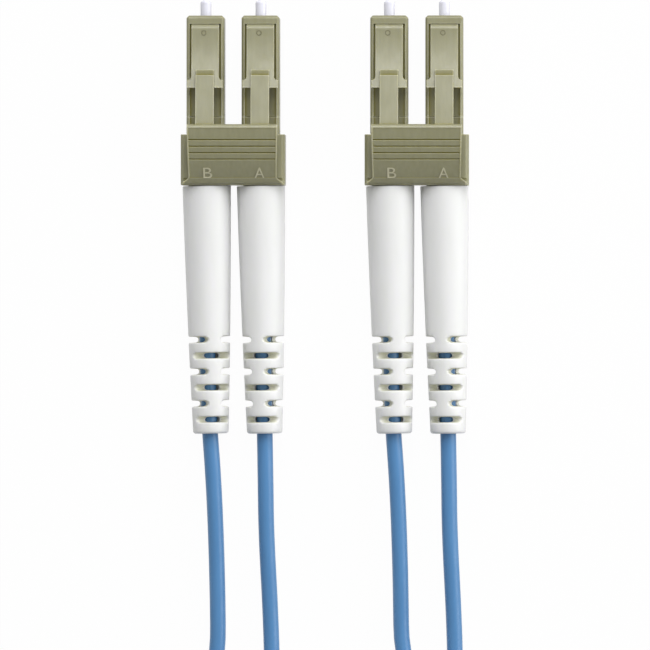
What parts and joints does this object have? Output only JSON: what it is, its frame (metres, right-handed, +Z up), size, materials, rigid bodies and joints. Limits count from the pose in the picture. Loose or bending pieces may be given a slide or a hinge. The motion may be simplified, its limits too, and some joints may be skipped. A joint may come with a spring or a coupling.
{
  "type": "fibre optic patch cable",
  "caption": "Duplex fibre patch cable with plug pairs in clips, latch triggers, slotted strain relief boots and slim blue cords that run to a tied coil.",
  "frame": {"origin": "bottom centre of the two plug pairs with their boots, on the surface that the cable lies on", "axes": "+Y along the plugs towards the ferrule tips, +Z up, +X across the two plug pairs"},
  "size_m": [0.0378, 0.1199, 0.0087],
  "materials": {
    "plug_plastic": "satin moulded beige",
    "boot_rubber": "satin white",
    "cord_jacket": "satin blue",
    "ceramic": "polished white ceramic",
    "plated_steel": "plated",
    "spring_steel": "drawn wire",
    "crimp_metal": "crimped",
    "fibre_buffer": "smooth",
    "tie_fabric": "woven strap"
  },
  "bodies": {
    "cable": {"left_clip": "plug_plastic", "right_clip": "plug_plastic", "left_b_ferrule_spring": "spring_steel", "left_b_plug_housing": "plug_plastic", "left_b_rear_body": "plug_plastic", "left_b_crimp_sleeve": "crimp_metal", "left_b_buffered_fibre": "fibre_buffer", "left_b_boot": "boot_rubber", "left_b_cord": "cord_jacket", "left_a_ferrule_spring": "spring_steel", "left_a_plug_housing": "plug_plastic", "left_a_rear_body": "plug_plastic", "left_a_crimp_sleeve": "crimp_metal", "left_a_buffered_fibre": "fibre_buffer", "left_a_boot": "boot_rubber", "left_a_cord": "cord_jacket", "right_b_ferrule_spring": "spring_steel", "right_b_plug_housing": "plug_plastic", "right_b_rear_body": "plug_plastic", "right_b_crimp_sleeve": "crimp_metal", "right_b_buffered_fibre": "fibre_buffer", "right_b_boot": "boot_rubber", "right_b_cord": "cord_jacket", "right_a_ferrule_spring": "spring_steel", "right_a_plug_housing": "plug_plastic", "right_a_rear_body": "plug_plastic", "right_a_crimp_sleeve": "crimp_metal", "right_a_buffered_fibre": "fibre_buffer", "right_a_boot": "boot_rubber", "right_a_cord": "cord_jacket", "cord_coil": "cord_jacket", "coil_tie_near": "tie_fabric", "coil_tie_far": "tie_fabric"},
    "left_trigger": {"left_trigger": "plug_plastic"},
    "right_trigger": {"right_trigger": "plug_plastic"},
    "left_b_latch": {"left_b_latch": "plug_plastic"},
    "left_a_latch": {"left_a_latch": "plug_plastic"},
    "right_b_latch": {"right_b_latch": "plug_plastic"},
    "right_a_latch": {"right_a_latch": "plug_plastic"},
    "left_b_ferrule": {"left_b_ferrule": "ceramic", "left_b_ferrule_flange": "plated_steel"},
    "left_a_ferrule": {"left_a_ferrule": "ceramic", "left_a_ferrule_flange": "plated_steel"},
    "right_b_ferrule": {"right_b_ferrule": "ceramic", "right_b_ferrule_flange": "plated_steel"},
    "right_a_ferrule": {"right_a_ferrule": "ceramic", "right_a_ferrule_flange": "plated_steel"}
  },
  "joints": [
    {"name": "left_trigger_press", "type": "hinge", "parent": "cable", "child": "left_trigger", "pos_m": [-0.01043, 0.0041, 0.00575], "axis": [1, 0, 0], "range_deg": [-2.7, 0], "stiffness_Nm_per_rad": 0.001, "springref_deg": 1.15},
    {"name": "right_trigger_press", "type": "hinge", "parent": "cable", "child": "right_trigger", "pos_m": [0.01043, 0.0041, 0.00575], "axis": [1, 0, 0], "range_deg": [-2.7, 0], "stiffness_Nm_per_rad": 0.001, "springref_deg": 1.15},
    {"name": "left_b_latch_flex", "type": "hinge", "parent": "cable", "child": "left_b_latch", "pos_m": [-0.01355, 0.02127, 0.005], "axis": [1, 0, 0], "range_deg": [0, 7.2], "stiffness_Nm_per_rad": 0.0001, "springref_deg": -2.86},
    {"name": "left_a_latch_flex", "type": "hinge", "parent": "cable", "child": "left_a_latch", "pos_m": [-0.0073, 0.02127, 0.005], "axis": [1, 0, 0], "range_deg": [0, 7.2], "stiffness_Nm_per_rad": 0.0001, "springref_deg": -2.86},
    {"name": "right_b_latch_flex", "type": "hinge", "parent": "cable", "child": "right_b_latch", "pos_m": [0.0073, 0.02127, 0.005], "axis": [1, 0, 0], "range_deg": [0, 7.2], "stiffness_Nm_per_rad": 0.0001, "springref_deg": -2.86},
    {"name": "right_a_latch_flex", "type": "hinge", "parent": "cable", "child": "right_a_latch", "pos_m": [0.01355, 0.02127, 0.005], "axis": [1, 0, 0], "range_deg": [0, 7.2], "stiffness_Nm_per_rad": 0.0001, "springref_deg": -2.86},
    {"name": "left_b_ferrule_float", "type": "slide", "parent": "cable", "child": "left_b_ferrule", "axis": [0, -1, 0], "range_m": [0, 0.0008], "stiffness_N_per_m": 2500, "deforming": ["left_b_ferrule_spring"]},
    {"name": "left_a_ferrule_float", "type": "slide", "parent": "cable", "child": "left_a_ferrule", "axis": [0, -1, 0], "range_m": [0, 0.0008], "stiffness_N_per_m": 2500, "deforming": ["left_a_ferrule_spring"]},
    {"name": "right_b_ferrule_float", "type": "slide", "parent": "cable", "child": "right_b_ferrule", "axis": [0, -1, 0], "range_m": [0, 0.0008], "stiffness_N_per_m": 2500, "deforming": ["right_b_ferrule_spring"]},
    {"name": "right_a_ferrule_float", "type": "slide", "parent": "cable", "child": "right_a_ferrule", "axis": [0, -1, 0], "range_m": [0, 0.0008], "stiffness_N_per_m": 2500, "deforming": ["right_a_ferrule_spring"]}
  ],
  "couplings": [
    {"joint": "left_b_latch_flex", "follows": "left_trigger_press", "ratio": -2.63},
    {"joint": "left_a_latch_flex", "follows": "left_trigger_press", "ratio": -2.63},
    {"joint": "right_b_latch_flex", "follows": "right_trigger_press", "ratio": -2.63},
    {"joint": "right_a_latch_flex", "follows": "right_trigger_press", "ratio": -2.63}
  ]
}
